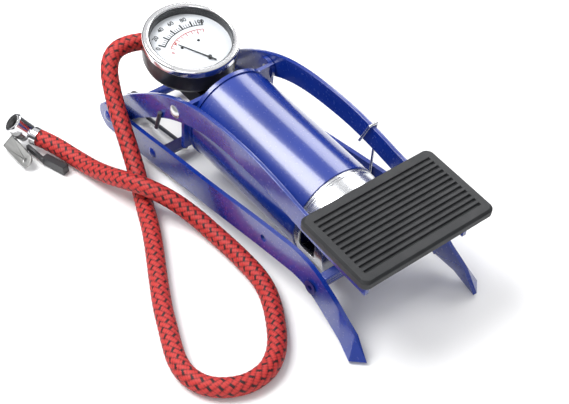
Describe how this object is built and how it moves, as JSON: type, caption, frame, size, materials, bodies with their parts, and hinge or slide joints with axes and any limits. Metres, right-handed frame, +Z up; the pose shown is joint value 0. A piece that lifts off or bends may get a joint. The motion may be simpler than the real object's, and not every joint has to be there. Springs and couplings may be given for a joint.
{
  "type": "foot pump",
  "caption": "Foot-operated air pump with a blue steel frame, one tilted barrel, a dial gauge, a ribbed pedal and a red braided hose with a lever chuck.",
  "frame": {"origin": "on the floor, under the middle of the pump without its hose", "axes": "+X from the gauge end to the pedal, +Y to the pump's left, away from the hose's loop, +Z up"},
  "size_m": [0.2674, 0.1672, 0.0777],
  "materials": {
    "blue_paint": "gloss",
    "dark_paint": "gloss",
    "spring_steel": "satin",
    "zinc": "satin",
    "rod_steel": "polished",
    "chuck_chrome": "polished",
    "lever_steel": "satin",
    "pedal_rubber": "matte",
    "seal_rubber": "matte",
    "black_plastic": "satin",
    "dial_face": "matte",
    "clear_lens": "polished",
    "needle_black": "matte",
    "red_braid": "matte"
  },
  "bodies": {
    "base": {"right_side_rail": "blue_paint", "left_side_rail": "blue_paint", "rear_cross_bar": "dark_paint", "front_cross_plate": "blue_paint", "rail_rivets": "blue_paint", "rear_axle": "blue_paint", "front_axle": "dark_paint", "spring_lower_legs": "spring_steel", "axle_spacers": "zinc"},
    "lever": {"right_lever_arm": "blue_paint", "left_lever_arm": "blue_paint", "pedal_plate": "dark_paint", "pedal_pad": "pedal_rubber", "pedal_rivets": "zinc", "torsion_springs": "spring_steel", "head_rivets": "zinc"},
    "latch": {"latch_wire": "zinc"},
    "rod": {"piston_rod": "rod_steel", "rod_sleeve": "blue_paint", "piston": "zinc", "piston_cup": "seal_rubber", "rod_nut": "zinc"},
    "barrel": {"barrel_tube": "blue_paint", "front_cap": "zinc", "rear_cover": "blue_paint", "head_bracket": "blue_paint", "head_rivet_tails": "zinc", "valve_block": "black_plastic", "gauge_stem": "zinc", "gauge_case": "black_plastic", "gauge_dial": "dial_face", "gauge_lens": "clear_lens", "gauge_bezel": "chuck_chrome", "hose_fitting": "zinc", "hose": "red_braid", "chuck_ferrule": "chuck_chrome", "chuck_head": "chuck_chrome", "chuck_seal": "seal_rubber", "chuck_pin": "zinc", "hose_clip": "black_plastic"},
    "needle": {"gauge_needle": "needle_black"},
    "thumb_lever": {"chuck_lever": "lever_steel"}
  },
  "joints": [
    {"name": "lever_hinge", "type": "hinge", "parent": "base", "child": "lever", "pos_m": [-0.11524, 0, 0.009], "axis": [0, -1, 0], "range_deg": [0, 42]},
    {"name": "rod_hinge", "type": "hinge", "parent": "base", "child": "rod", "pos_m": [0.07896, 0, 0.0215], "axis": [0, 1, 0], "range_deg": [0, 10.8]},
    {"name": "barrel_slide", "type": "slide", "parent": "rod", "child": "barrel", "axis": [-0.9962, 0, 0.0872], "range_m": [0, 0.0547]},
    {"name": "needle_turn", "type": "hinge", "parent": "barrel", "child": "needle", "pos_m": [-0.06515, 0.0029, 0.06328], "axis": [-0.1968, 0, -0.9804], "range_deg": [0, 62], "stiffness_Nm_per_rad": 0.0004},
    {"name": "thumb_hinge", "type": "hinge", "parent": "barrel", "child": "thumb_lever", "pos_m": [-0.1353, -0.09576, 0.00468], "axis": [-0.029, -0.7964, -0.604], "range_deg": [0, 90]},
    {"name": "latch_swing", "type": "hinge", "parent": "lever", "child": "latch", "pos_m": [0.04128, 0.0357, 0.06819], "axis": [0, 1, 0], "range_deg": [-10, 35]}
  ],
  "couplings": [
    {"joint": "rod_hinge", "follows": "lever_hinge", "ratio": 0.2559},
    {"joint": "barrel_slide", "follows": "lever_hinge", "m_per_rad": 0.0743}
  ]
}
